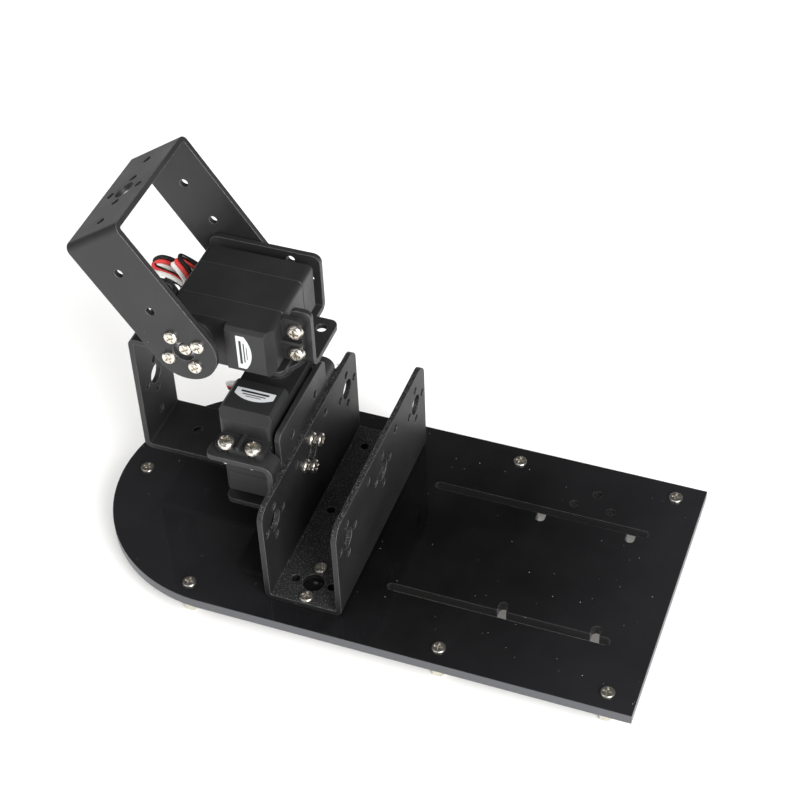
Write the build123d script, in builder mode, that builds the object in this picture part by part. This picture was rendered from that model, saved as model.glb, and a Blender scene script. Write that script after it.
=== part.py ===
from build123d import *
import math
import os

# Pan and tilt camera mount: an acrylic base, an aluminium channel, and two hobby servos in sheet
# metal brackets. The first servo turns a long fork about a vertical axis. The second servo stands
# on that fork and turns the fork that carries the camera.
# Millimetres. +Z is up and +X points to the square end of the base. The origin is the centre of
# the base outline, on the plane of the feet.

# ---- Driving dimensions ------------------------------------------------------------------------
# Base plate and feet
plate_length = 213.6
plate_width = 109.0
plate_thickness = 4.0
foot_height = 8.0
foot_side_x = (-59.0, 36.0, 96.5)   # feet along both long sides
foot_side_y = 47.5
foot_tip_x = -98.2                  # single foot near the round end
slot_centre_x = 50.5
slot_length = 82.4
slot_width = 3.2
slot_y = 26.3
notch_x = (51.6, 85.6)              # short notches that open into the inner side of each slot
notch_width = 3.3
notch_end_y = 22.3
extra_ring_centre = (68.5, 33.0)    # three holes beside the far slot, on the horn ring

# M3 hardware
hole_r = 1.65
shank_r = 1.5
thread_r = 1.52                     # tapped hole, clear of the shank by 0.02
head_r = 2.6
head_height = 1.4
low_head_height = 0.9               # the screws that hold the feet and the channel
ear_head_r = 3.0                    # the screws through the servo ears have larger heads
ear_head_height = 2.3
nut_across_flats = 5.5
nut_height = 1.5
ear_nut_height = 2.4

# Hole pattern shared by every bracket: a plain centre hole and four screw holes on one ring
centre_hole_r = 4.0
ring_r = 7.0

# Sheet metal
sheet = 2.0
bend_r = 2.0                        # inside radius of the ear flanges
tight_bend_r = 0.8                  # inside radius in the channel, the forks and the back plates

# Channel
channel_x = -15.6
channel_length = 90.0
channel_inner = 25.2
channel_height = 43.5
channel_corner_r = 5.5
channel_patterns = (-35.0, 0.0, 35.0)
channel_pattern_height = 30.6       # above the underside of the channel floor
channel_single_y = 14.0
channel_single_height = 38.0

# Servo: origin at the middle of its underside, X along the case towards the output, Z along the
# output axis
servo_length = 40.0
servo_width = 20.0
servo_wall = 1.5
cover_top = 10.0                    # parting line between bottom cover and middle case
ear_underside = 26.6                # parting line between middle case and gear case
ear_thickness = 2.5
ear_length = 54.6
ear_width = 18.6
ear_hole_x = 25.0
ear_hole_y = 5.0
low_roof = 36.5                     # roof around the output
high_roof = 40.0                    # roof over the motor end
roof_step_x = -3.3
roof_chamfer = 1.3
roof_end_drop = 4.5                 # long bevel at the motor end of the higher roof
roof_end_run = 2.2
seam = 0.25                         # chamfer on both sides of each parting line
output_x = 10.0
motor_x = -10.0
horn_top = 43.9
horn_r = 10.0
horn_thickness = 2.7

# Gear train, from motor pinion to output, in four stages
module = 0.4
pinion_teeth = 10
first_wheel_teeth = 40
small_teeth = 12
wheel_teeth = 38
stage_floor = 27.2
stage_thickness = 1.6
stage_pitch = 1.9

# Servo bracket: origin at the servo's underside, base sheet on the -Y side
bracket_gap = 1.6                   # between servo side and base sheet
bracket_half = 21.2
bracket_top = 34.3
lug_half = 29.8
lug_bottom = 2.6
lug_hole_r = 2.0
lug_hole_rise = 5.3                 # lug hole above the bottom of the lug
relief_width = 0.8
relief_bottom = 20.0
flange_reach = 11.6
flange_corner_r = 2.4
bracket_corner_r = 3.0
back_plate_gap = 3.4                # between servo underside and back plate
back_plate_reach = 10.6
wall_pattern = (0.0, 7.2)           # pattern that bolts the pan bracket to the channel wall
stack_pattern = (12.1, 20.2)        # pattern that bolts the tilt bracket to the lower fork
bracket_single = (10.6, 26.0)       # single holes near the top of the base sheet

# Long fork: origin on the pivot at the inside of the driven arm, X towards the web
fork_width = 24.8
fork_reach = 52.0
fork_inside = 50.2
fork_single_holes = (18.6, 35.8)
fork_web_single = 18.0
tilt_rest_angle = 34.5              # camera fork at rest, leaning back from upright

# Idle bearing opposite each horn, a flanged 3 x 8 x 4
bearing_outer_r = 4.0
bearing_flange_r = 4.7
bearing_flange = 0.7
bearing_width = 4.0
bearing_split_r = 2.6               # where the inner ring ends
running_gap = 0.05

# ---- Positions worked out from the dimensions ---------------------------------------------------
plate_top = foot_height + plate_thickness
channel_wall_x = channel_x - channel_inner / 2 - sheet
bracket_face = servo_width / 2 + bracket_gap + sheet
pan_x = channel_wall_x - bracket_face
pan_servo_z = plate_top + channel_pattern_height - wall_pattern[1]
pan_y = output_x
fork_top_z = pan_servo_z + horn_top
tilt_z = fork_top_z + sheet + bracket_face
tilt_servo_x = pan_x - stack_pattern[0]
tilt_servo_y = pan_y + stack_pattern[1]
tilt_x = tilt_servo_x - output_x
lean = math.radians(tilt_rest_angle)

pan_servo_plane = Plane(origin=(pan_x, 0, pan_servo_z), x_dir=(0, 1, 0), z_dir=(0, 0, 1))
tilt_servo_plane = Plane(
    origin=(tilt_servo_x, tilt_servo_y, tilt_z), x_dir=(-1, 0, 0), z_dir=(0, -1, 0)
)
tilt_bracket_plane = Plane(
    origin=(tilt_servo_x, tilt_servo_y, tilt_z), x_dir=(1, 0, 0), z_dir=(0, -1, 0)
)
pan_fork_plane = Plane(origin=(pan_x, pan_y, fork_top_z), x_dir=(-1, 0, 0), z_dir=(0, 0, 1))
tilt_fork_plane = Plane(
    origin=(tilt_x, tilt_servo_y - horn_top, tilt_z),
    x_dir=(-math.sin(lean), 0, math.cos(lean)),
    z_dir=(0, -1, 0),
)

os.makedirs("parts", exist_ok=True)


# ---- Helpers ------------------------------------------------------------------------------------
def save(part, name):
    """Labels one finished piece and writes it under that name."""
    part.label = name
    export_step(part, f"parts/{name}.step")


def placed(piece, plane):
    """The piece moved from its own frame to the given plane."""
    return piece.moved(plane.location)


def group(piece, planes):
    """Copies of one piece, one at each plane, kept as separate solids of one node."""
    with BuildPart() as copies:
        for plane in planes:
            add(piece.moved(plane.location))
    return copies.part


def bent_sheet(plane, points, width, inside_r=bend_r):
    """Sheet bent along the points, which lie at half its thickness, seen from its edge on a plane."""
    with BuildPart() as body:
        with BuildSketch(plane):
            with BuildLine():
                FilletPolyline(*points, radius=inside_r + sheet / 2)
            trace(line_width=sheet)
        extrude(amount=width)
    return body.part


def on_plane(plane, x, y, z):
    """The plane moved, within its own axes, to a point of its own frame."""
    origin = plane.from_local_coords(Vector(x, y, z))
    return Plane(origin, x_dir=plane.x_dir, z_dir=plane.z_dir)


def horn_holes(centres):
    """Draws the shared hole pattern at each centre of the open sketch."""
    with Locations(*centres):
        Circle(centre_hole_r)
        with PolarLocations(ring_r, 4):
            Circle(hole_r)


def on_ring(plane, height):
    """Planes at the four screw holes around the axis of a plane."""
    spots = [(ring_r, 0), (0, ring_r), (-ring_r, 0), (0, -ring_r)]
    return [on_plane(plane, x, y, height) for x, y in spots]


# ---- Fasteners ----------------------------------------------------------------------------------
def pan_screw(length, shank=shank_r, head=head_r, height=head_height):
    """Pan head screw with a cross recess. The head stands on Z = 0 and the shank points down."""
    recess_length = 1.25 * head
    recess_width = 0.3 * head
    with BuildPart() as screw:
        with BuildSketch():
            Circle(head)
        extrude(amount=height)
        fillet(edges().group_by(Axis.Z)[-1], 0.68 * height)
        with BuildSketch():
            Circle(shank)
        extrude(amount=-length)
        with BuildSketch(Plane.XY.offset(height)):
            Rectangle(recess_length, recess_width)
            Rectangle(recess_width, recess_length)
        extrude(amount=-0.6 * height, taper=12, mode=Mode.SUBTRACT)
    return screw.part


def hex_piece(across_flats, height, bore):
    """Hexagonal nut or standoff that stands on Z = 0."""
    with BuildPart() as nut:
        with BuildSketch():
            RegularPolygon(across_flats / 2, 6, major_radius=False)
            Circle(bore, mode=Mode.SUBTRACT)
        extrude(amount=height)
    return nut.part


def ring(inner, outer, low, high):
    """Plain ring about Z between two heights."""
    with BuildPart() as body:
        with BuildSketch(Plane.XY.offset(low)):
            Circle(outer)
            Circle(inner, mode=Mode.SUBTRACT)
        extrude(amount=high - low)
    return body.part


screw_5 = pan_screw(5.0)
screw_6 = pan_screw(6.0)
screw_10 = pan_screw(10.0)
foot_screw = pan_screw(8.0, height=low_head_height)
channel_screw = pan_screw(10.0, height=low_head_height)
ear_screw = pan_screw(8.0, shank_r, ear_head_r, ear_head_height)
nut = hex_piece(nut_across_flats, nut_height, thread_r)
ear_nut = hex_piece(nut_across_flats, ear_nut_height, thread_r)
standoff = hex_piece(nut_across_flats, foot_height, thread_r)

# ---- Base plate ---------------------------------------------------------------------------------
floor_screw_spots = [
    (channel_x, y + side * ring_r) for y in (channel_patterns[0], channel_patterns[-1]) for side in (-1, 1)
]
foot_spots = [(foot_tip_x, 0)]
foot_spots += [(x, side * foot_side_y) for x in foot_side_x for side in (-1, 1)]
round_r = plate_width / 2

with BuildPart() as base_plate:
    with BuildSketch(Plane.XY.offset(foot_height)):
        with Locations((round_r / 2, 0)):
            Rectangle(plate_length - round_r, plate_width)
        with Locations((round_r - plate_length / 2, 0)):
            Circle(round_r)
        with Locations(*foot_spots, *floor_screw_spots):
            Circle(hole_r, mode=Mode.SUBTRACT)
        for side in (-1, 1):
            with Locations((slot_centre_x, side * slot_y)):
                SlotOverall(slot_length, slot_width, mode=Mode.SUBTRACT)
            with Locations(*[(x, side * notch_end_y) for x in notch_x]):
                Circle(notch_width / 2, mode=Mode.SUBTRACT)
            with Locations(*[(x, side * (notch_end_y + slot_y) / 2) for x in notch_x]):
                Rectangle(notch_width, slot_y - notch_end_y, mode=Mode.SUBTRACT)
        with Locations(extra_ring_centre):
            with PolarLocations(ring_r, 3, start_angle=0, angular_range=180, endpoint=True):
                Circle(hole_r, mode=Mode.SUBTRACT)
    extrude(amount=plate_thickness)
save(base_plate.part, "base_plate")

save(group(standoff, [Plane((x, y, 0)) for x, y in foot_spots]), "foot_standoffs")
save(group(foot_screw, [Plane((x, y, plate_top)) for x, y in foot_spots]), "foot_screws")

# ---- Channel ------------------------------------------------------------------------------------
channel_outer = channel_inner + 2 * sheet
channel_side = (channel_inner + sheet) / 2
channel_end_plane = Plane((channel_x, channel_length / 2, plate_top), x_dir=(1, 0, 0), z_dir=(0, -1, 0))

with BuildPart() as channel:
    add(bent_sheet(
        channel_end_plane,
        [(-channel_side, channel_height), (-channel_side, sheet / 2),
         (channel_side, sheet / 2), (channel_side, channel_height)],
        channel_length,
        tight_bend_r,
    ))
    fillet(edges().filter_by(Axis.X).group_by(Axis.Z)[-1], channel_corner_r)
    with BuildSketch(Plane.XY.offset(plate_top)):
        horn_holes([(channel_x, y) for y in channel_patterns])
    extrude(amount=sheet, mode=Mode.SUBTRACT)
    with BuildSketch(Plane((channel_x, 0, plate_top), x_dir=(0, 1, 0), z_dir=(1, 0, 0))):
        horn_holes([(y, channel_pattern_height) for y in channel_patterns])
        with Locations(*[(side * channel_single_y, channel_single_height) for side in (-1, 1)]):
            Circle(hole_r)
    extrude(amount=channel_outer, both=True, mode=Mode.SUBTRACT)
save(channel.part, "channel")

floor_top = plate_top + sheet
save(group(channel_screw, [Plane((x, y, floor_top)) for x, y in floor_screw_spots]), "channel_screws")

wall_pattern_plane = Plane(
    (channel_wall_x + sheet, 0, plate_top + channel_pattern_height), x_dir=(0, 1, 0), z_dir=(1, 0, 0)
)
save(group(screw_5, on_ring(wall_pattern_plane, 0)), "pan_bracket_screws")


# ---- Servo bracket ------------------------------------------------------------------------------
back_low = -back_plate_gap - sheet
base_line_y = sheet / 2 - bracket_face
flange_low = ear_underside - sheet

with BuildPart() as bracket:
    # Base sheet and back plate
    add(bent_sheet(
        Plane.YZ.offset(-bracket_half),
        [(back_plate_reach, back_low + sheet / 2), (base_line_y, back_low + sheet / 2),
         (base_line_y, bracket_top)],
        2 * bracket_half,
        tight_bend_r,
    ))
    fillet(edges().filter_by(Axis.Y).group_by(Axis.Z)[-1], bracket_corner_r)
    fillet(edges().filter_by(Axis.Z).group_by(Axis.Y)[-1], bracket_corner_r)

with BuildPart() as lug:
    # Ear flange bent from a lug beside the base sheet
    add(bent_sheet(
        Plane.YZ.offset(bracket_half + relief_width),
        [(flange_reach, flange_low + sheet / 2), (base_line_y, flange_low + sheet / 2),
         (base_line_y, lug_bottom)],
        lug_half - bracket_half - relief_width,
    ))
    fillet(edges().filter_by(Axis.Z).group_by(Axis.Y)[-1], flange_corner_r)
    fillet(edges().filter_by(Axis.Y).group_by(Axis.Z)[0].sort_by(Axis.X)[-1], bracket_corner_r)
    # Web that joins the lug to the base sheet, below the slit
    with BuildSketch(Plane.XZ.offset(bracket_face)):
        with Locations((bracket_half, (lug_bottom + relief_bottom) / 2)):
            Rectangle(4 * relief_width, relief_bottom - lug_bottom)
    extrude(amount=-sheet)
    mirror(about=Plane.YZ)


def servo_bracket(pattern, single_sides):
    """The bracket with one hole pattern in its base sheet, and single holes on the given sides."""
    with BuildPart() as whole:
        add(bracket.part)
        add(lug.part)
        with BuildSketch(Plane.XZ.offset(bracket_face)):
            horn_holes([pattern])
            with Locations(*[(side * bracket_single[0], bracket_single[1]) for side in single_sides]):
                Circle(hole_r)
            with Locations(*[(side * ear_hole_x, lug_bottom + lug_hole_rise) for side in (-1, 1)]):
                Circle(lug_hole_r)
        extrude(amount=-sheet, mode=Mode.SUBTRACT)
        with BuildSketch(Plane.XY.offset(back_low)):
            with Locations((output_x, 0), (-output_x, 0)):
                Circle(hole_r)
            with Locations((output_x, 0)):
                with PolarLocations(ring_r, 4):
                    Circle(hole_r)
        extrude(amount=sheet, mode=Mode.SUBTRACT)
        with BuildSketch(Plane.XY.offset(flange_low)):
            with GridLocations(2 * ear_hole_x, 2 * ear_hole_y, 2, 2):
                Circle(hole_r)
        extrude(amount=sheet, mode=Mode.SUBTRACT)
    return whole.part


save(placed(servo_bracket(wall_pattern, (-1, 1)), pan_servo_plane), "pan_bracket")
save(placed(servo_bracket(stack_pattern, (-1,)), tilt_bracket_plane), "tilt_bracket")

# ---- Long fork ----------------------------------------------------------------------------------
fork_low = -fork_inside - sheet

with BuildPart() as fork:
    add(bent_sheet(
        Plane.XZ.offset(-fork_width / 2),
        [(-fork_width / 2, sheet / 2), (fork_reach - sheet / 2, sheet / 2),
         (fork_reach - sheet / 2, fork_low + sheet / 2), (-fork_width / 2, fork_low + sheet / 2)],
        fork_width,
        tight_bend_r,
    ))
    with BuildSketch(Plane.XY.offset(fork_low)):
        Circle(fork_width / 2)
        with Locations((fork_reach / 2, 0)):
            Rectangle(fork_reach, fork_width)
    extrude(amount=fork_inside + 2 * sheet, mode=Mode.INTERSECT)
    with BuildSketch(Plane.XY.offset(fork_low)):
        horn_holes([(0, 0)])
        with Locations(*[(x, 0) for x in fork_single_holes]):
            Circle(hole_r)
    extrude(amount=fork_inside + 2 * sheet, mode=Mode.SUBTRACT)
    with BuildSketch(Plane.YZ.offset(fork_reach)):
        horn_holes([(0, -fork_inside / 2)])
        with Locations(*[(0, side * fork_web_single - fork_inside / 2) for side in (-1, 1)]):
            Circle(hole_r)
    extrude(amount=-sheet, mode=Mode.SUBTRACT)

save(placed(fork.part, pan_fork_plane), "pan_fork")
save(placed(fork.part, tilt_fork_plane), "tilt_fork")

# ---- Servo case ---------------------------------------------------------------------------------
case_corner_r = 2.0
post_spacing_x = 34.4
post_spacing_y = 14.4
post_r = 2.0
case_screw_r = 1.0
case_screw_head_r = 1.7
case_screw_length = 31.0
case_screw_seat = 1.6               # depth of the head recess in the bottom cover
inner_length = servo_length - 2 * servo_wall
inner_width = servo_width - 2 * servo_wall
cable_slot_z = 5.0
cable_slot_gap = 0.4                # slot in the bottom cover, wider than the cable by twice this
cable_width = 3.9
cable_thickness = 1.3
deck = 1.6                          # floor of the gear chamber, at the top of the middle case
deck_low = ear_underside - deck
pin_r = 1.0
pin_top = 35.6
motor_r = 7.4
motor_low = 4.5
motor_shaft_r = 0.75
motor_shaft_low = 22.0
stub_r = 1.2
stub_low = 18.0
shaft_r = 3.0
shaft_top = 41.7
shaft_bore_depth = 5.4              # threaded for the centre screw
bearing_r = 5.0
bearing_low = 35.2
bearing_high = 38.0
bearing_inner_r = 3.8
case_boss_r = 6.6
case_boss_top = 38.2
ceiling = low_roof - servo_wall
ear_reach = (ear_length - servo_length) / 2
ear_corner_r = 2.5
ear_slot_r = 2.0                    # round part of each ear slot
ear_slot_neck = 2.8                 # width where the slot opens at the ear's end
rib_height = 1.6
rib_width = 1.2
cover_edge = 0.6                    # chamfer around the underside of the bottom cover
motor_boss_r = 2.8
motor_boss_gap = 0.2
board_size = (28.0, 16.0, 1.2)
board_low = 2.2
potentiometer_r = 5.5
potentiometer_low = 16.5
post_spots = [(sx * post_spacing_x / 2, sy * post_spacing_y / 2) for sx in (-1, 1) for sy in (-1, 1)]
ear_spots = [(sx * ear_hole_x, sy * ear_hole_y) for sx in (-1, 1) for sy in (-1, 1)]


def case_shell(low, high, hollow_low, hollow_high, post):
    """One length of servo case, hollow between two heights, with a post in each corner."""
    with BuildPart() as shell:
        with BuildSketch(Plane.XY.offset(low)):
            RectangleRounded(servo_length, servo_width, case_corner_r)
        extrude(amount=high - low)
        for end in faces().filter_by(Axis.Z):
            if end.center().Z in (cover_top, ear_underside):
                chamfer(end.outer_wire().edges(), seam)
        with BuildSketch(Plane.XY.offset(hollow_low)):
            RectangleRounded(inner_length, inner_width, case_corner_r / 2)
            with Locations(*post_spots):
                Circle(post, mode=Mode.SUBTRACT)
        extrude(amount=hollow_high - hollow_low, mode=Mode.SUBTRACT)
        with BuildSketch(Plane.XY.offset(low)):
            with Locations(*post_spots):
                Circle(case_screw_r + running_gap)
        extrude(amount=min(high, case_screw_seat + case_screw_length + 0.2) - low, mode=Mode.SUBTRACT)
    return shell.part


with BuildPart() as bottom_cover:
    add(case_shell(0, cover_top, servo_wall, cover_top, post_r + 0.6))
    chamfer(faces().sort_by(Axis.Z)[0].outer_wire().edges(), cover_edge)
    with BuildSketch():
        with Locations(*post_spots):
            Circle(case_screw_head_r + 0.1)
    extrude(amount=case_screw_seat, mode=Mode.SUBTRACT)
    with BuildSketch(Plane.YZ.offset(inner_length / 2 - 1)):
        with Locations((0, cable_slot_z)):
            SlotOverall(cable_width + 2 * cable_slot_gap, cable_thickness + 2 * cable_slot_gap)
    extrude(amount=servo_wall + 2, mode=Mode.SUBTRACT)

with BuildPart() as middle_case:
    add(case_shell(cover_top, ear_underside, cover_top, deck_low, post_r))
    with BuildSketch(Plane.XY.offset(deck_low)):
        with Locations((motor_x, 0)):
            Circle(motor_boss_r + motor_boss_gap)
        Circle(pin_r)
        with Locations((output_x, 0)):
            Circle(stub_r + running_gap)
    extrude(amount=deck, mode=Mode.SUBTRACT)

with BuildPart() as ear:
    # Mounting ear with two open slots and a rib between the screws
    with BuildSketch(Plane.XY.offset(ear_underside)):
        with Locations(((servo_length + ear_reach) / 2, 0)):
            Rectangle(ear_reach, ear_width)
        fillet(vertices().group_by(Axis.X)[-1], ear_corner_r)
        with Locations(*[(ear_hole_x, side * ear_hole_y) for side in (-1, 1)]):
            Circle(ear_slot_r, mode=Mode.SUBTRACT)
        with Locations(*[(ear_hole_x + ear_slot_r, side * ear_hole_y) for side in (-1, 1)]):
            Rectangle(2 * ear_slot_r, ear_slot_neck, mode=Mode.SUBTRACT)
    extrude(amount=ear_thickness)
    with BuildSketch(Plane.XY.offset(ear_underside + ear_thickness)):
        with Locations(((servo_length + ear_reach) / 2, 0)):
            Rectangle(ear_reach, rib_width)
    extrude(amount=rib_height)
    mirror(about=Plane.YZ)

with BuildPart() as gear_case:
    add(case_shell(ear_underside, high_roof, ear_underside, ceiling, post_r))
    chamfer(faces().sort_by(Axis.Z)[-1].outer_wire().edges(), roof_chamfer)
    # Long bevel at the motor end
    with BuildSketch(Plane.XZ.offset(-servo_width)):
        Polygon(
            (-servo_length / 2, high_roof - roof_end_drop), (roof_end_run - servo_length / 2, high_roof),
            (-servo_length / 2, high_roof),
            align=None,
        )
    extrude(amount=2 * servo_width, mode=Mode.SUBTRACT)
    # Lower roof over the output, with the bearing boss
    with BuildSketch(Plane.XY.offset(low_roof)):
        with Locations((roof_step_x + servo_length / 2, 0)):
            Rectangle(servo_length, 2 * servo_width)
    extrude(amount=high_roof - low_roof, mode=Mode.SUBTRACT)
    with BuildSketch(Plane.XY.offset(low_roof)):
        with Locations((output_x, 0)):
            Circle(case_boss_r)
    extrude(amount=case_boss_top - low_roof)
    add(ear.part)
    with BuildSketch(Plane.XY.offset(ceiling)):
        with Locations((output_x, 0)):
            Circle(bearing_r)
    extrude(amount=case_boss_top - ceiling, mode=Mode.SUBTRACT)
    with BuildSketch(Plane.XY.offset(ceiling)):
        Circle(pin_r)
    extrude(amount=pin_top - ceiling, mode=Mode.SUBTRACT)

case_screw = pan_screw(case_screw_length, case_screw_r, case_screw_head_r, case_screw_seat - 0.2)

# ---- Servo inside -------------------------------------------------------------------------------
with BuildPart() as motor:
    # Can with two flats and a front boss, bored for the pinion shaft
    with BuildSketch(Plane.XY.offset(motor_low)):
        with Locations((motor_x, 0)):
            Circle(motor_r)
            Rectangle(2 * motor_r, 1.7 * motor_r, mode=Mode.INTERSECT)
    extrude(amount=deck_low - motor_low)
    with BuildSketch(Plane.XY.offset(deck_low)):
        with Locations((motor_x, 0)):
            Circle(motor_boss_r)
    extrude(amount=deck - 2 * motor_boss_gap)
    with BuildSketch(Plane.XY.offset(motor_shaft_low)):
        with Locations((motor_x, 0)):
            Circle(motor_shaft_r + running_gap)
    extrude(amount=ear_underside - motor_shaft_low, mode=Mode.SUBTRACT)

with BuildPart() as board:
    with BuildSketch(Plane.XY.offset(board_low)):
        Rectangle(board_size[0], board_size[1])
    extrude(amount=board_size[2])

with BuildPart() as potentiometer:
    with BuildSketch(Plane.XY.offset(potentiometer_low)):
        with Locations((output_x, 0)):
            Circle(potentiometer_r)
            Circle(stub_r + running_gap, mode=Mode.SUBTRACT)
    extrude(amount=deck_low - potentiometer_low)

with BuildPart() as gear_pin:
    with BuildSketch(Plane.XY.offset(deck_low)):
        Circle(pin_r)
    extrude(amount=pin_top - deck_low)


def gear(teeth, axis_x, low, bore, half_turn_gap):
    """Straight toothed wheel about a vertical axis. With half_turn_gap a gap faces -X, else a tooth."""
    pitch_r = module * teeth / 2
    root_r = pitch_r - 1.15 * module
    tip_r = pitch_r + 0.9 * module
    root_half = 0.70 * module
    tip_half = 0.30 * module
    first = 180 / teeth if half_turn_gap else 0
    with BuildPart() as wheel:
        with BuildSketch(Plane.XY.offset(low)):
            with Locations((axis_x, 0)):
                Circle(root_r)
                with PolarLocations(0, teeth, start_angle=first):
                    Polygon(
                        (root_r - module / 2, -root_half),
                        (tip_r, -tip_half),
                        (tip_r, tip_half),
                        (root_r - module / 2, root_half),
                        align=None,
                    )
                if bore:
                    Circle(bore, mode=Mode.SUBTRACT)
        extrude(amount=stage_thickness)
    return wheel.part


def compound_gear(large_teeth, axis_x, low, bore, large_gap):
    """Large wheel with a small pinion on top, one piece, running on a pin."""
    with BuildPart() as pair:
        add(gear(large_teeth, axis_x, low, bore, large_gap))
        with BuildSketch(Plane.XY.offset(low + stage_thickness)):
            with Locations((axis_x, 0)):
                Circle(bore + 0.7)
                Circle(bore, mode=Mode.SUBTRACT)
        extrude(amount=stage_pitch - stage_thickness)
        add(gear(small_teeth, axis_x, low + stage_pitch, bore, False))
    return pair.part


stage_low = [stage_floor + stage * stage_pitch for stage in range(4)]
first_gear = compound_gear(first_wheel_teeth, 0, stage_low[0], pin_r + 0.03, True)
second_gear = compound_gear(wheel_teeth, output_x, stage_low[1], stub_r + 0.03, True)
third_gear = compound_gear(wheel_teeth, 0, stage_low[2], pin_r + 0.03, True)

with BuildPart() as pinion:
    add(gear(pinion_teeth, motor_x, stage_low[0], 0, False))
    with BuildSketch(Plane.XY.offset(motor_shaft_low)):
        with Locations((motor_x, 0)):
            Circle(motor_shaft_r)
    extrude(amount=stage_low[0] - motor_shaft_low)

with BuildPart() as output_shaft:
    add(gear(wheel_teeth, output_x, stage_low[3], 0, True))
    for low, high, radius in (
        (stub_low, stage_low[3], stub_r),
        (stage_low[3] + stage_thickness, shaft_top, shaft_r),
    ):
        with BuildSketch(Plane.XY.offset(low)):
            with Locations((output_x, 0)):
                Circle(radius)
        extrude(amount=high - low)
    with BuildSketch(Plane.XY.offset(shaft_top)):
        with Locations((output_x, 0)):
            Circle(thread_r)
    extrude(amount=-shaft_bore_depth, mode=Mode.SUBTRACT)

shift_to_output = Plane(origin=(output_x, 0, 0))
outer_ring = ring(bearing_inner_r + running_gap, bearing_r, bearing_low, bearing_high)
inner_ring = ring(shaft_r, bearing_inner_r, bearing_low, bearing_high)
output_bearing = placed(outer_ring, shift_to_output)
output_race = placed(inner_ring, shift_to_output)

# ---- Horn, label and idle bearing ---------------------------------------------------------------
hub_r = 4.6
hub_low = 38.5
with BuildPart() as horn:
    # Disc with a hub beneath it. The origin is the centre of the outer face, as on the fork
    for low, radius in ((hub_low, hub_r), (horn_top - horn_thickness, horn_r)):
        with BuildSketch(Plane.XY.offset(low - horn_top)):
            Circle(radius)
        extrude(amount=horn_top - low)
    chamfer(edges().group_by(Axis.Z)[-1], 0.3)
    with BuildSketch(Plane.XY.offset(hub_low - horn_top)):
        Circle(shaft_r)
    extrude(amount=shaft_top - hub_low, mode=Mode.SUBTRACT)
    with BuildSketch(Plane.XY.offset(hub_low - horn_top)):
        Circle(hole_r)
        with PolarLocations(ring_r, 4):
            Circle(thread_r)
    extrude(amount=horn_top - hub_low, mode=Mode.SUBTRACT)
save(placed(horn.part, pan_fork_plane), "pan_horn")
save(placed(horn.part, tilt_fork_plane), "tilt_horn")

label_back_x = -7.4
label_side_x = -10.4
label_tip_x = -12.8
label_half = 7.3
label_thickness = 0.15
with BuildPart() as label:
    # Shield shaped sticker on the higher roof
    with BuildSketch(Plane.XY.offset(high_roof)):
        with BuildLine():
            Polyline(
                (label_side_x, label_half), (label_back_x, label_half), (label_back_x, -label_half),
                (label_side_x, -label_half),
            )
            ThreePointArc((label_side_x, -label_half), (label_tip_x, 0), (label_side_x, label_half))
        make_face()
    extrude(amount=label_thickness)

idle_arm_z = horn_top - fork_inside          # inner face of the idle arm
idle_end_z = idle_arm_z + bearing_flange - bearing_width
idle_nut_z = idle_end_z - 0.2
with BuildPart() as idle_outer:
    add(ring(bearing_split_r + running_gap, bearing_outer_r, idle_end_z, idle_arm_z))
    add(ring(bearing_split_r + running_gap, bearing_flange_r, idle_arm_z, idle_arm_z + bearing_flange))
idle_bearing = placed(idle_outer.part, shift_to_output)
idle_race = placed(ring(thread_r, bearing_split_r, idle_nut_z, back_low), shift_to_output)

# ---- Cables -------------------------------------------------------------------------------------
def servo_cable(plane, points):
    """Flat three core cable that starts inside the servo's cable slot and follows the points."""
    with BuildPart() as cable:
        with BuildLine() as path:
            Spline(*[plane.from_local_coords(Vector(*point)) for point in points])
        start = Plane(origin=path.line @ 0, x_dir=plane.y_dir, z_dir=path.line % 0)
        with BuildSketch(start):
            RectangleRounded(cable_width, cable_thickness, 0.5)
        sweep(path=path.line)
    return cable.part


cable_start = (inner_length / 2 + 0.3, 0, cable_slot_z)
cable_mouth = (servo_length / 2 + 2, 0, cable_slot_z)
pan_cable = servo_cable(
    pan_servo_plane,
    [cable_start, cable_mouth, (27, 3, 4), (31, 12, 2), (30.5, 24, 1), (29.5, 30, 7), (30, 24, 13),
     (32, 11, 15), (33.5, -2, 15), (34, -9, 17)],
)
tilt_cable = servo_cable(
    tilt_servo_plane,
    [cable_start, cable_mouth, (30, 1, 5.5), (38, 2, 7), (41.5, 0, 11), (37, -3, 14), (28, -4, 12)],
)
save(pan_cable, "pan_cable")
save(tilt_cable, "tilt_cable")

# ---- Two servos in place ------------------------------------------------------------------------
servo_pieces = {
    "bottom_cover": bottom_cover.part,
    "middle_case": middle_case.part,
    "gear_case": gear_case.part,
    "motor": motor.part,
    "board": board.part,
    "potentiometer": potentiometer.part,
    "gear_pin": gear_pin.part,
    "pinion": pinion.part,
    "first_gear": first_gear,
    "second_gear": second_gear,
    "third_gear": third_gear,
    "output_shaft": output_shaft.part,
    "output_bearing": output_bearing,
    "output_race": output_race,
    "label": label.part,
    "idle_bearing": idle_bearing,
    "idle_race": idle_race,
}
flat = {"x_dir": (1, 0, 0), "z_dir": (0, 0, 1)}
case_screw_planes = [
    Plane(origin=(x, y, case_screw_seat), x_dir=(1, 0, 0), z_dir=(0, 0, -1)) for x, y in post_spots
]
ear_screw_planes = [Plane((x, y, ear_underside + ear_thickness), **flat) for x, y in ear_spots]
idle_screw_plane = Plane((output_x, 0, -back_plate_gap), **flat)
nut_planes = [Plane((x, y, flange_low - ear_nut_height), **flat) for x, y in ear_spots]
nut_planes.append(Plane((output_x, 0, idle_nut_z - ear_nut_height), **flat))

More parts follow.
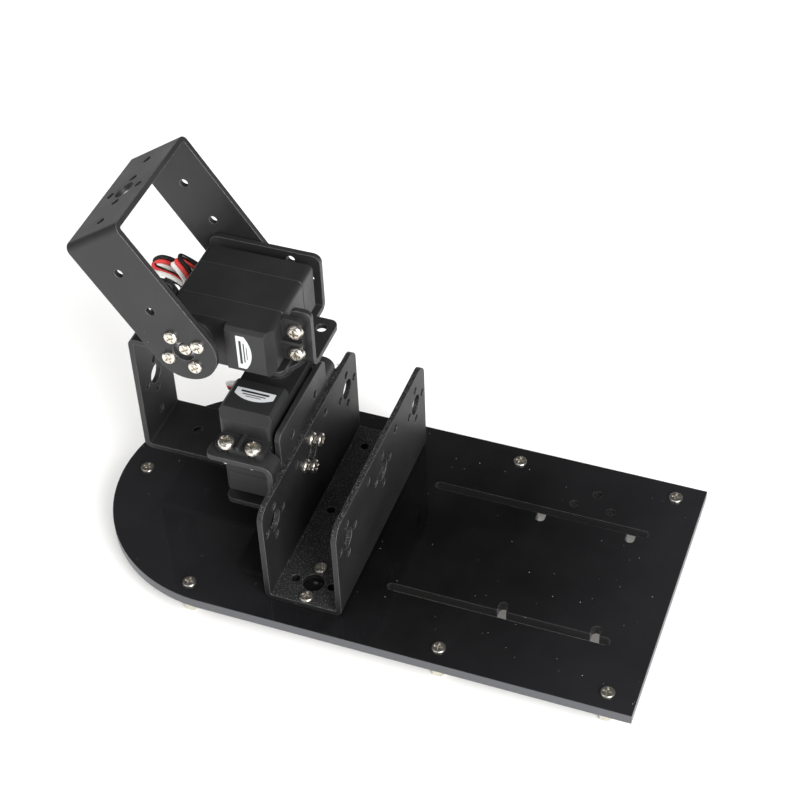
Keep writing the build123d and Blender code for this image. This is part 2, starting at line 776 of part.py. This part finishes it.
for name, plane in (("pan", pan_servo_plane), ("tilt", tilt_servo_plane)):
    for piece_name, piece in servo_pieces.items():
        save(placed(piece, plane), f"{name}_{piece_name}")
    save(placed(group(case_screw, case_screw_planes), plane), f"{name}_case_screws")
    save(placed(group(ear_screw, ear_screw_planes), plane), f"{name}_ear_screws")
    save(placed(placed(screw_10, idle_screw_plane), plane), f"{name}_idle_screw")
save(placed(group(ear_nut, nut_planes), tilt_servo_plane), "tilt_nuts")

# The root body's nuts are one kind: under the base, behind the pan bracket and on the pan servo
under_base = [Plane((x, y, foot_height - nut_height), **flat) for x, y in floor_screw_spots]
behind_bracket = on_ring(wall_pattern_plane, -2 * sheet - nut_height)
with BuildPart() as base_nuts:
    add(group(nut, under_base + behind_bracket))
    add(placed(group(ear_nut, nut_planes), pan_servo_plane))
save(base_nuts.part, "base_nuts")

# Horn screws: through fork and bracket on the pan servo, through the fork alone on the tilt servo
save(group(screw_6, on_ring(pan_fork_plane, 2 * sheet)), "pan_horn_screws")
save(group(screw_5, on_ring(tilt_fork_plane, sheet)), "tilt_horn_screws")
save(placed(screw_5, pan_fork_plane), "pan_centre_screw")
save(placed(screw_5, tilt_fork_plane), "tilt_centre_screw")
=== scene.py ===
"""Looks for the pan and tilt camera mount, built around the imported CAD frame. Metres, +Z up."""
import math

import bpy
import bmesh
from mathutils import Matrix, Vector


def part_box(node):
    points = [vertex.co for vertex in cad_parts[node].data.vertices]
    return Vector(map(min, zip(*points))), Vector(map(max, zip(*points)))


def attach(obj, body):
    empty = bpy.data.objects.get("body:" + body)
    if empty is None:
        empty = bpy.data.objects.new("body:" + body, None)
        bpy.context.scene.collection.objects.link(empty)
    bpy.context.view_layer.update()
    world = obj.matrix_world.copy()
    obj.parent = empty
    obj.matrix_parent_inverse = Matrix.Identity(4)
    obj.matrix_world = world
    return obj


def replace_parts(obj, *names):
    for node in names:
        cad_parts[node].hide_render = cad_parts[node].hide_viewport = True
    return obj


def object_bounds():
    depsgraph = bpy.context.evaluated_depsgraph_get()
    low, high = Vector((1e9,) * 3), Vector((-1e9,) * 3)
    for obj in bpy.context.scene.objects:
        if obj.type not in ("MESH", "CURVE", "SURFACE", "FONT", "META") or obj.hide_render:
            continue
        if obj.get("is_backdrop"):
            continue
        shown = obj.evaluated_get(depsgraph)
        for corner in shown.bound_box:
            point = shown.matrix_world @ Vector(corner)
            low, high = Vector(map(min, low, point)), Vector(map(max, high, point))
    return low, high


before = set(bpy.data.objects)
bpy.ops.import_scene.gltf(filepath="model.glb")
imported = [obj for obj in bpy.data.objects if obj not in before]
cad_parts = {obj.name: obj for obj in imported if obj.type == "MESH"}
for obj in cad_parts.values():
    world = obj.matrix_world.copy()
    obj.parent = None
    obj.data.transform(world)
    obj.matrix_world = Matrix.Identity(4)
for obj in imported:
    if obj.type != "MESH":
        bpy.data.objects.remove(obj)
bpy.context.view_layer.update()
MM = 0.001
X, Y, Z = range(3)


# ---- Shader helpers -----------------------------------------------------------------------------
def add(tree, kind, inputs=None, **settings):
    """One shader node. Inputs are plain values or sockets of earlier nodes, by name or index."""
    made = tree.nodes.new("ShaderNode" + kind)
    for key, value in settings.items():
        setattr(made, key, value)
    for key, value in (inputs or {}).items():
        socket = made.inputs[key]
        if isinstance(value, bpy.types.NodeSocket):
            tree.links.new(value, socket)
        else:
            socket.default_value = value
    return made


def new_material(name):
    """An empty node material and its tree."""
    material = bpy.data.materials.new(name)
    material.use_nodes = True
    tree = material.node_tree
    tree.nodes.clear()
    return material, tree


def finish_material(tree, inputs):
    """Puts a principled surface with these inputs on the material's output."""
    surface = add(tree, "BsdfPrincipled", inputs)
    add(tree, "OutputMaterial", {"Surface": surface.outputs["BSDF"]})


def place(tree):
    """The point being shaded, in the row frame."""
    return add(tree, "TexCoord").outputs["Object"]


def facing_up(tree):
    """1 on a face turned straight up, 0 on a wall, -1 on a face turned down."""
    normal = add(tree, "NewGeometry").outputs["Normal"]
    return add(tree, "SeparateXYZ", {0: normal}).outputs["Z"]


def noise(tree, size, detail=2.0, roughness=0.5):
    """Noise whose blobs are about size metres across."""
    made = add(tree, "TexNoise", {
        "Vector": place(tree), "Scale": 1 / size, "Detail": detail, "Roughness": roughness,
    })
    return made.outputs["Fac"]


def spread(tree, value, low, high, to_low=0.0, to_high=1.0):
    """The value remapped from one range to another, held at both ends."""
    made = add(tree, "MapRange", {
        "Value": value, "From Min": low, "From Max": high, "To Min": to_low, "To Max": to_high,
    })
    return made.outputs["Result"]


def calc(tree, operation, a, b=0.0):
    """One maths node."""
    made = add(tree, "Math", {0: a, 1: b}, operation=operation)
    return made.outputs["Value"]


def times(tree, a, b):
    """Product of two values. For masks, 1 where both are 1."""
    return calc(tree, "MULTIPLY", a, b)


def either(tree, a, b):
    """The larger of two values. For masks, 1 where either is 1."""
    return calc(tree, "MAXIMUM", a, b)


def within(tree, value, middle, reach):
    """1 where the value lies within reach of the middle, else 0."""
    away = calc(tree, "ABSOLUTE", calc(tree, "SUBTRACT", value, middle))
    return calc(tree, "LESS_THAN", away, reach)


def grey(tone):
    """Neutral colour."""
    return (tone, tone, tone)


def colour_mix(tree, share, first, second):
    """First colour where share is 0, second where it is 1. Colours are sockets or (r, g, b)."""
    made = add(tree, "Mix", data_type="RGBA")
    # Inputs 0, 6 and 7 and output 2 are the ones that the node uses for colours
    for index, value in ((0, share), (6, first), (7, second)):
        if isinstance(value, bpy.types.NodeSocket):
            tree.links.new(value, made.inputs[index])
        elif index == 0:
            made.inputs[index].default_value = value
        else:
            made.inputs[index].default_value = (*value, 1)
    return made.outputs[2]


def specks(tree, cell, radius, share):
    """Sparse round specks: 1 inside, 0 elsewhere. The radius is in cells, and a share of cells hold one."""
    cells = add(tree, "TexVoronoi", {"Vector": place(tree), "Scale": 1 / cell})
    near = spread(tree, cells.outputs["Distance"], radius, radius * 0.6)
    lot = add(tree, "SeparateColor", {0: cells.outputs["Color"]}).outputs[0]
    return times(tree, near, calc(tree, "LESS_THAN", lot, share))


def rounded_edges(tree, radius):
    """(shading normal that rounds sharp edges, mask that is 1 on an edge and 0 on a flat face)."""
    bevel = add(tree, "Bevel", {"Radius": radius}, samples=4).outputs["Normal"]
    flat = add(tree, "NewGeometry").outputs["Normal"]
    facing = add(tree, "VectorMath", {0: bevel, 1: flat}, operation="DOT_PRODUCT").outputs["Value"]
    return bevel, spread(tree, facing, 0.995, 0.80)


def bump(tree, height, depth, normal=None, strength=1.0):
    """Shading normal for a height map whose full range stands depth metres tall."""
    inputs = {"Height": height, "Distance": depth, "Strength": strength}
    if normal is not None:
        inputs["Normal"] = normal
    return add(tree, "Bump", inputs).outputs["Normal"]


# ---- Materials ----------------------------------------------------------------------------------
def sawn_outline(tree):
    """1 on the plate's upright outer edge, 0 on its faces and on the walls of its slots."""
    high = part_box("base_plate")[1]
    margin = 3 * MM
    spot = add(tree, "SeparateXYZ", {0: place(tree)})
    wall = calc(tree, "LESS_THAN", calc(tree, "ABSOLUTE", facing_up(tree)), 0.5)
    round_half = calc(tree, "LESS_THAN", spot.outputs["X"], 0.0)
    square_end = calc(tree, "GREATER_THAN", spot.outputs["X"], high.x - margin)
    long_side = calc(tree, "GREATER_THAN", calc(tree, "ABSOLUTE", spot.outputs["Y"]), high.y - margin)
    return times(tree, wall, either(tree, either(tree, round_half, square_end), long_side))


def handling_haze(tree):
    """Thin film on the plate that grows from its middle to its rim, with faint clouds all over."""
    clearest = (20 * MM, 0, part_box("base_plate")[1].z)
    away = add(tree, "VectorMath", {0: place(tree), 1: clearest}, operation="DISTANCE").outputs["Value"]
    film = spread(tree, away, 30 * MM, 95 * MM, 0.0, 0.030)
    clouds = spread(tree, noise(tree, 30 * MM, 4, 0.6), 0.40, 0.75, 0.0, 0.010)
    return calc(tree, "ADD", film, clouds)


def black_acrylic():
    """Polished black sheet, dusty, wiped and hazier towards its rim, with a paler sawn outer edge and a
    painted highlight along its sharp edges.
    """
    material, tree = new_material("black_acrylic")
    sawn = sawn_outline(tree)
    dust = either(tree, specks(tree, 5.0 * MM, 0.034, 0.45), specks(tree, 2.0 * MM, 0.050, 0.14))
    face = colour_mix(tree, handling_haze(tree), (0.0018, 0.0018, 0.0020), (0.35, 0.35, 0.38))
    dusty = colour_mix(tree, dust, face, grey(0.50))
    saw_marks = noise(tree, 0.5 * MM, 2, 0.6)
    edge = colour_mix(tree, saw_marks, (0.045, 0.046, 0.052), (0.085, 0.087, 0.095))
    # Painted highlight: the sharp edges and slot outlines are lightened in the colour, broken up by the saw
    # marks, where an edge would catch the light
    rounded, rim_highlight_mask = rounded_edges(tree, 0.25 * MM)
    dusty_with_painted_rim_highlight = colour_mix(tree, times(tree, rim_highlight_mask, saw_marks), dusty, grey(0.20))
    wipes = spread(tree, noise(tree, 9 * MM, 5, 0.7), 0.3, 0.8, 0.035, 0.10)
    rough_face = calc(tree, "ADD", wipes, times(tree, dust, 0.5))
    finish_material(tree, {
        "Base Color": colour_mix(tree, sawn, dusty_with_painted_rim_highlight, edge),
        "Roughness": colour_mix(tree, sawn, rough_face, grey(0.38)),
        "IOR": 1.49,
        "Normal": bump(tree, saw_marks, 0.02 * MM, rounded, 0.3),
    })
    return material


def black_metal(name, tone, grain, grain_depth, roughness, painted_glint_strength, wear):
    """Black anodised sheet: blasted grain with painted glint specks on faces turned up, and paler worn
    edges.
    """
    material, tree = new_material(name)
    rounded, edges = rounded_edges(tree, 0.45 * MM)
    blasted = noise(tree, grain, 3, 0.65)
    slow = noise(tree, 18 * MM, 3, 0.55)
    darker = (tone * 0.8, tone * 0.8, tone * 0.83)
    lighter = (tone * 1.15, tone * 1.15, tone * 1.18)
    body = colour_mix(tree, spread(tree, slow, 0.3, 0.7), darker, lighter)
    # Painted highlight: pale specks of the blasted grain are put into the colour, strongest on faces turned
    # up, standing in for grain that catches the light
    glint_share_facing_up = spread(tree, facing_up(tree), 0.2, 0.9, 0.15, 1.0)
    painted_glints = times(tree, times(tree, spread(tree, blasted, 0.54, 0.70), painted_glint_strength), glint_share_facing_up)
    body_with_painted_glints = colour_mix(tree, painted_glints, body, (0.30, 0.30, 0.31))
    chips = spread(tree, noise(tree, 1.6 * MM, 4, 0.7), 0.34, 0.58, 0.35, 1.0)
    worn = times(tree, times(tree, edges, chips), wear)
    scuffs = times(tree, specks(tree, 5 * MM, 0.045, 0.40), 0.8)
    finish_material(tree, {
        "Base Color": colour_mix(tree, either(tree, worn, scuffs), body_with_painted_glints, grey(0.26)),
        "Metallic": 0.35,
        "Roughness": spread(tree, slow, 0.25, 0.75, roughness - 0.05, roughness + 0.06),
        "Normal": bump(tree, blasted, grain_depth, rounded),
    })
    return material


def moulded_plastic(name, tone, roughness):
    """Black moulded case with a fine eroded texture and softly rounded edges."""
    material, tree = new_material(name)
    rounded, edges = rounded_edges(tree, 0.3 * MM)
    texture = noise(tree, 0.22 * MM, 3, 0.6)
    slow = noise(tree, 12 * MM, 3, 0.5)
    body = colour_mix(tree, slow, grey(tone * 0.8), (tone * 1.25, tone * 1.25, tone * 1.3))
    rubbed = colour_mix(tree, times(tree, edges, 0.25), body, (0.11, 0.11, 0.115))
    dust = times(tree, specks(tree, 4 * MM, 0.03, 0.3), 0.5)
    finish_material(tree, {
        "Base Color": colour_mix(tree, dust, rubbed, grey(0.25)),
        "Roughness": spread(tree, slow, 0.3, 0.7, roughness - 0.04, roughness + 0.05),
        "IOR": 1.5,
        "Normal": bump(tree, texture, 0.018 * MM, rounded),
    })
    return material


def plated(name, colour, roughness):
    """Bright plating with faint tool marks and darker tarnish in patches."""
    material, tree = new_material(name)
    rounded, _ = rounded_edges(tree, 0.15 * MM)
    tool_marks = noise(tree, 0.35 * MM, 3, 0.6)
    tarnish = spread(tree, noise(tree, 1.4 * MM, 3, 0.6), 0.45, 0.75, 0.0, 0.45)
    dull = tuple(channel * 0.55 for channel in colour)
    finish_material(tree, {
        "Base Color": colour_mix(tree, tarnish, colour, dull),
        "Metallic": 1.0,
        "Roughness": spread(tree, tool_marks, 0.3, 0.7, roughness * 0.7, roughness * 1.5),
        "Normal": bump(tree, tool_marks, 0.01 * MM, rounded),
    })
    return material


# Middle, half height and half width of each bar on a label, as shares of the label
LABEL_BARS = ((0.26, 0.085, 0.36), (0.50, 0.045, 0.30), (0.68, 0.030, 0.20))


def foil_label(name, node, across, along, straight_end):
    """Silver foil sticker with three plain dark bars, the widest by its straight edge.

    Across and along are axes. The straight edge is at the low or high end of the across axis."""
    material, tree = new_material(name)
    low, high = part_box(node)
    spot = add(tree, "SeparateXYZ", {0: place(tree)})
    ends = (low[across], high[across]) if straight_end == "low" else (high[across], low[across])
    u = spread(tree, spot.outputs[across], *ends)
    v = spread(tree, spot.outputs[along], low[along], high[along])
    bars = 0.0
    for middle, half_height, half_width in LABEL_BARS:
        bar = times(tree, within(tree, u, middle, half_height), within(tree, v, 0.5, half_width))
        bars = either(tree, bars, bar)
    grain = noise(tree, 0.3 * MM)
    silver = colour_mix(tree, grain, (0.60, 0.62, 0.63), (0.72, 0.74, 0.75))
    finish_material(tree, {
        "Base Color": colour_mix(tree, bars, silver, grey(0.02)),
        "Metallic": 0.15,
        "Roughness": spread(tree, grain, 0.2, 0.8, 0.28, 0.42),
        "Normal": bump(tree, grain, 0.004 * MM),
    })
    return material


def turned_horn(name, node, turn_axis):
    """Black horn with turning rings, and a bright recess around its centre screw."""
    material, tree = new_material(name)
    low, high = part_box(node)
    flat = [1, 1, 1]
    flat[turn_axis] = 0
    offset = add(tree, "VectorMath", {0: place(tree), 1: (low + high) / 2}, operation="SUBTRACT")
    radial = add(tree, "VectorMath", {0: offset.outputs[0], 1: flat}, operation="MULTIPLY")
    distance = add(tree, "VectorMath", {0: radial.outputs[0]}, operation="LENGTH").outputs["Value"]
    bright = spread(tree, distance, 4.3 * MM, 4.1 * MM)
    ring_pitch = 0.25 * MM
    rings = calc(tree, "SINE", times(tree, distance, 2 * math.pi / ring_pitch))
    rounded, edges = rounded_edges(tree, 0.2 * MM)
    black = colour_mix(tree, times(tree, edges, 0.6), (0.018, 0.018, 0.019), grey(0.2))
    finish_material(tree, {
        "Base Color": colour_mix(tree, bright, black, (0.55, 0.55, 0.58)),
        "Metallic": spread(tree, bright, 0, 1, 0.4, 1.0),
        "Roughness": spread(tree, noise(tree, 1.0 * MM, 3, 0.6), 0.3, 0.7, 0.26, 0.40),
        "Normal": bump(tree, rings, 0.006 * MM, rounded, 0.6),
    })
    return material


def insulation(name, colour):
    """Soft vinyl insulation with a slight sheen and handling marks."""
    material, tree = new_material(name)
    slow = noise(tree, 3 * MM, 3, 0.6)
    grime = tuple(channel * 0.7 for channel in colour)
    finish_material(tree, {
        "Base Color": colour_mix(tree, spread(tree, slow, 0.45, 0.8, 0.0, 0.5), colour, grime),
        "Roughness": spread(tree, slow, 0.3, 0.7, 0.32, 0.46),
        "Normal": bump(tree, noise(tree, 0.4 * MM), 0.01 * MM),
    })
    return material


acrylic = black_acrylic()
channel_metal = black_metal(
    "channel_metal", tone=0.017, grain=0.45 * MM, grain_depth=0.025 * MM,
    roughness=0.50, painted_glint_strength=0.75, wear=0.60,
)
bracket_metal = black_metal(
    "bracket_metal", tone=0.029, grain=0.16 * MM, grain_depth=0.010 * MM,
    roughness=0.42, painted_glint_strength=0.10, wear=0.75,
)
case_plastic = moulded_plastic("case_plastic", tone=0.016, roughness=0.46)
board_mask = moulded_plastic("board_mask", tone=0.05, roughness=0.4)
pan_horn_metal = turned_horn("pan_horn_metal", "pan_horn", turn_axis=Z)
tilt_horn_metal = turned_horn("tilt_horn_metal", "tilt_horn", turn_axis=Y)
nickel = plated("nickel", (0.80, 0.76, 0.69), roughness=0.28)
brass = plated("brass", (0.80, 0.66, 0.38), roughness=0.30)
pale_brass = plated("pale_brass", (0.74, 0.71, 0.62), roughness=0.34)
steel = plated("steel", (0.60, 0.60, 0.62), roughness=0.28)
pan_foil = foil_label("pan_foil", "pan_label", across=Y, along=X, straight_end="high")
tilt_foil = foil_label("tilt_foil", "tilt_label", across=X, along=Z, straight_end="low")

# The first word found in a node's name gives its material, so screws come before brackets and horns
finishes = (
    ("screw", nickel), ("nuts", nickel), ("base_plate", acrylic), ("foot_standoffs", pale_brass),
    ("channel", channel_metal), ("bracket", bracket_metal), ("fork", bracket_metal),
    ("bottom_cover", case_plastic), ("middle_case", case_plastic), ("gear_case", case_plastic),
    ("pan_horn", pan_horn_metal), ("tilt_horn", tilt_horn_metal), ("pan_label", pan_foil),
    ("tilt_label", tilt_foil), ("board", board_mask), ("potentiometer", case_plastic),
    ("pinion", brass), ("first_gear", brass), ("second_gear", brass), ("third_gear", brass),
    ("cable", case_plastic), ("", steel),
)
for name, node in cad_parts.items():
    node.data.materials.clear()
    node.data.materials.append(next(material for word, material in finishes if word in name))


# ---- Cables -------------------------------------------------------------------------------------
CORE_RADIUS = 0.82 * MM
CORE_PITCH = 1.62 * MM
STEPS_PER_SPAN = 14
SIDES = 14


def smooth_path(points):
    """Catmull-Rom curve through points of any size, given as vectors."""
    ends = [2 * points[0] - points[1], *points, 2 * points[-1] - points[-2]]
    path = []
    for a, b, c, d in zip(ends, ends[1:], ends[2:], ends[3:]):
        for step in range(STEPS_PER_SPAN):
            t = step / STEPS_PER_SPAN
            path.append(0.5 * (
                2 * b + (c - a) * t + (2 * a - 5 * b + 4 * c - d) * t ** 2 + (3 * b - a - 3 * c + d) * t ** 3
            ))
    path.append(points[-1].copy())
    return path


def add_tube(shape, centres, radius, material_index):
    """Round tube along the centres, closed at both ends, added to a bmesh."""
    side = Vector((0.31, 0.52, 0.79))    # where the first ring starts, carried on without a twist
    rings = []
    for index, centre in enumerate(centres):
        after = centres[min(index + 1, len(centres) - 1)]
        before = centres[max(index - 1, 0)]
        along = (after - before).normalized()
        side = (side - along * side.dot(along)).normalized()
        across = along.cross(side)
        ring = []
        for step in range(SIDES):
            turn = 2 * math.pi * step / SIDES
            outward = side * math.cos(turn) + across * math.sin(turn)
            ring.append(shape.verts.new(centre + radius * outward))
        rings.append(ring)
    for first, second in zip(rings, rings[1:]):
        for k in range(SIDES):
            face = shape.faces.new((first[k - 1], first[k], second[k], second[k - 1]))
            face.material_index = material_index
            face.smooth = True
    for cap in (rings[0][::-1], rings[-1]):
        shape.faces.new(cap).material_index = material_index


def new_piece(name, shape, materials, body):
    """Mesh object from a bmesh, riding on a body."""
    bmesh.ops.recalc_face_normals(shape, faces=shape.faces)
    mesh = bpy.data.meshes.new(name)
    shape.to_mesh(mesh)
    shape.free()
    for material in materials:
        mesh.materials.append(material)
    piece = bpy.data.objects.new(name, mesh)
    bpy.context.scene.collection.objects.link(piece)
    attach(piece, body)
    return piece


def ribbon(name, body, mouth, route):
    """Flat cable of three cores that leaves a servo at the mouth of its cable slot.

    Each stop of the route is a point in mm from the mouth, and the way the black core lies there."""
    middle = smooth_path([mouth + Vector(point) * MM for point, _ in route])
    across = smooth_path([Vector(lie).normalized() for _, lie in route])
    shape = bmesh.new()
    for core in range(3):
        offset = (core - 1) * CORE_PITCH
        centres = [at + lie.normalized() * offset for at, lie in zip(middle, across)]
        add_tube(shape, centres, CORE_RADIUS, core)
    return new_piece(name, shape, (white_vinyl, red_vinyl, black_vinyl), body)


white_vinyl = insulation("white_vinyl", (0.88, 0.87, 0.83))
red_vinyl = insulation("red_vinyl", (0.78, 0.055, 0.050))
black_vinyl = insulation("black_vinyl", grey(0.012))

# The slot is 5 mm above the underside of each servo, in the middle of the end by the output
SLOT_RISE = 5 * MM
tilt_low, tilt_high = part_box("tilt_bottom_cover")
tilt_mouth = Vector((tilt_low.x, tilt_high.y - SLOT_RISE, (tilt_low.z + tilt_high.z) / 2))
pan_low, pan_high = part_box("pan_bottom_cover")
pan_mouth = Vector(((pan_low.x + pan_high.x) / 2, pan_high.y, pan_low.z + SLOT_RISE))

STANDING = (0.1, 0.7, 0.7)
LEANING = (0.6, 0.65, 0.4)
LYING = (-0.3, 0.85, -0.3)
HANGING = (0, 0.3, -1)
tilt_route = (
    # Out of the slot
    ((1.3, 0.0, 0.0), (0, 0, 1)), ((-2.1, 0.2, 0.2), (0, 0.4, 1)),
    ((-6.7, 0.8, 1.5), STANDING), ((-10.0, 0.4, 3.1), STANDING),
    # Folded back towards the case
    ((-10.5, -1.3, 3.5), LEANING), ((-7.8, -2.7, 2.1), LEANING), ((-5.4, -3.6, -0.3), LEANING),
    ((-3.5, -4.2, -3.4), STANDING),
    # Out again below the first run
    ((-4.7, -3.6, -5.3), LYING), ((-8.0, -3.2, -3.9), LYING), ((-11.8, -2.7, -2.5), LYING),
    ((-16.5, -1.7, -2.5), LYING), ((-20.3, -0.2, -3.1), (-0.2, 0.85, 0.1)),
    # Back, to a free end
    ((-21.7, 1.6, -2.7), STANDING), ((-19.7, 2.6, -1.7), STANDING), ((-16.6, 2.6, -1.5), STANDING),
    ((-12.6, 3.0, -2.9), STANDING), ((-8.1, 3.8, -4.4), STANDING),
)
pan_route = (
    # Out of the slot, turning to hang on edge
    ((0.0, -1.1, 0.0), (1, 0, 0)), ((0.0, 2.5, 0.0), (1, 0, 0)),
    ((-3.7, 7.0, -1.4), (0.8, 0.5, -0.3)), ((-12.2, 10.5, -3.6), (0.2, 0.5, -0.9)),
    # Around the far turn
    ((-23.2, 10.5, -5.2), HANGING), ((-31.6, 11.0, -6.4), HANGING), ((-30.8, 13.4, -7.6), HANGING),
    # Back past the servo, to a free end
    ((-22.2, 14.8, -6.8), HANGING), ((-8.2, 15.0, -0.4), HANGING), ((5.8, 14.2, 9.6), HANGING),
    ((11.9, 13.2, 12.8), HANGING), ((12.6, 16.2, 11.2), HANGING),
)
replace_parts(ribbon("tilt_ribbon", "pan_head", tilt_mouth, tilt_route), "tilt_cable")
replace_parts(ribbon("pan_ribbon", "base", pan_mouth, pan_route), "pan_cable")

# Black sleeve that loops under the tilt cable, then runs on towards the case
SLEEVE_CENTRE = Vector((-12.5, -2.7, -8.1)) * MM    # from the mouth
SLEEVE_LOOP = 3.0 * MM
SLEEVE_RADIUS = 1.75 * MM
SLEEVE_RISE = 0.8 * MM                              # towards the back, per radian of turn
SLEEVE_TURN = range(-60, 200, 10)                   # degrees
SLEEVE_TAIL = ((-7.1, 0.6, -9.3), (-4.1, 0.8, -9.3))
sleeve_path = []
for angle in SLEEVE_TURN:
    turn = math.radians(angle)
    loop = Vector((-SLEEVE_LOOP * math.cos(turn), SLEEVE_RISE * turn, SLEEVE_LOOP * math.sin(turn)))
    sleeve_path.append(tilt_mouth + SLEEVE_CENTRE + loop)
sleeve_path += [tilt_mouth + Vector(point) * MM for point in SLEEVE_TAIL]
sleeve_shape = bmesh.new()
add_tube(sleeve_shape, sleeve_path, SLEEVE_RADIUS, 0)
new_piece("tilt_sleeve", sleeve_shape, (black_vinyl,), "pan_head")


# ---- Camera -------------------------------------------------------------------------------------
CAMERA_PLACE = Vector((0.1800, -0.4367, 0.5296))
CAMERA_AZIMUTH = 21.641     # degrees
CAMERA_ELEVATION = 43.783
CAMERA_ROLL = -2.474
CAMERA_LENS = 85.3          # mm
SENSOR_WIDTH = 36           # mm


def camera_axes(azimuth, elevation, roll):
    """(forward, right, up) of a camera at an azimuth and elevation, turned about its view line."""
    a, e, r = (math.radians(angle) for angle in (azimuth, elevation, roll))
    forward = Vector((-math.sin(a) * math.cos(e), math.cos(a) * math.cos(e), -math.sin(e)))
    level = forward.cross(Vector((0, 0, 1))).normalized()
    upright = level.cross(forward)
    right = level * math.cos(r) + upright * math.sin(r)
    return forward, right, right.cross(forward)


forward, right, up = camera_axes(CAMERA_AZIMUTH, CAMERA_ELEVATION, CAMERA_ROLL)
camera_data = bpy.data.cameras.new("camera")
camera_data.lens = CAMERA_LENS
camera_data.sensor_width = SENSOR_WIDTH
camera = bpy.data.objects.new("camera", camera_data)
camera.matrix_world = Matrix((
    (right.x, up.x, -forward.x, CAMERA_PLACE.x),
    (right.y, up.y, -forward.y, CAMERA_PLACE.y),
    (right.z, up.z, -forward.z, CAMERA_PLACE.z),
    (0, 0, 0, 1),
))
bpy.context.scene.collection.objects.link(camera)
bpy.context.scene.camera = camera


# ---- Light --------------------------------------------------------------------------------------
LAMP_SIZE = 0.8
OBJECT_MIDDLE = (0, 0, 0.05)
KEY_PLACE = (0.95, -0.75, 0.75)
KEY_TARGET = (-0.02, 0, 0.05)
KEY_POWER = 26


def softbox(name, place_at, target, power):
    """Square area light that faces the target."""
    data = bpy.data.lights.new(name, "AREA")
    data.size = LAMP_SIZE
    data.energy = power
    lamp = bpy.data.objects.new(name, data)
    lamp.location = place_at
    lamp.rotation_mode = "QUATERNION"
    lamp.rotation_quaternion = (Vector(target) - Vector(place_at)).to_track_quat("-Z", "Y")
    bpy.context.scene.collection.objects.link(lamp)
    return lamp


def limit_to_plate(lamp, state):
    """Makes a lamp light the base plate alone (INCLUDE), or everything but the plate (EXCLUDE)."""
    group = bpy.data.collections.new(lamp.name + "_receivers")
    group.objects.link(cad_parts["base_plate"])
    group.collection_objects[0].light_linking.link_state = state
    lamp.light_linking.receiver_collection = group


# A mirror image of the key would turn the polished plate white from behind, so the plate has its own
key = softbox("key", KEY_PLACE, KEY_TARGET, KEY_POWER)
limit_to_plate(key, "EXCLUDE")
plate_key = softbox("plate_key", KEY_PLACE, KEY_TARGET, KEY_POWER)
limit_to_plate(plate_key, "INCLUDE")
plate_key.visible_glossy = False
softbox("fill", (-0.75, -0.8, 0.8), OBJECT_MIDDLE, 2.0)
softbox("top", (-0.1, -0.1, 1.3), OBJECT_MIDDLE, 1.5)


# ---- Floor and surroundings ---------------------------------------------------------------------
FLOOR_HALF = 3.0
FLOOR_GLOW = 0.14
WORLD_SEEN = 0.80
WORLD_MIRRORED = 0.07


def pale_floor():
    """Large pale floor at the height of the feet, which glows a little so that it stays near white."""
    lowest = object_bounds()[0].z
    mesh = bpy.data.meshes.new("floor")
    corners = [(x * FLOOR_HALF, y * FLOOR_HALF, lowest) for x, y in ((-1, -1), (1, -1), (1, 1), (-1, 1))]
    mesh.from_pydata(corners, [], [(0, 1, 2, 3)])
    floor = bpy.data.objects.new("floor", mesh)
    bpy.context.scene.collection.objects.link(floor)
    material, tree = new_material("pale_floor")
    finish_material(tree, {
        "Base Color": colour_mix(tree, noise(tree, 0.2), grey(0.86), grey(0.88)),
        "Roughness": 0.75,
        "Emission Color": (1, 0.97, 0.9, 1),
        "Emission Strength": FLOOR_GLOW,
    })
    mesh.materials.append(material)
    floor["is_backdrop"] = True


def studio_world():
    """White surroundings, bright to the eye and dim in reflections."""
    world = bpy.data.worlds.new("studio")
    bpy.context.scene.world = world
    world.use_nodes = True
    tree = world.node_tree
    tree.nodes.clear()
    glossy = add(tree, "LightPath").outputs["Is Glossy Ray"]
    seen = add(tree, "Background", {"Color": (1, 1, 1, 1), "Strength": WORLD_SEEN})
    mirrored = add(tree, "Background", {"Color": (1, 1, 1, 1), "Strength": WORLD_MIRRORED})
    mixed = add(tree, "MixShader", {0: glossy, 1: seen.outputs[0], 2: mirrored.outputs[0]})
    add(tree, "OutputWorld", {"Surface": mixed.outputs[0]})


pale_floor()
studio_world()
bpy.context.scene.view_settings.view_transform = "Standard"
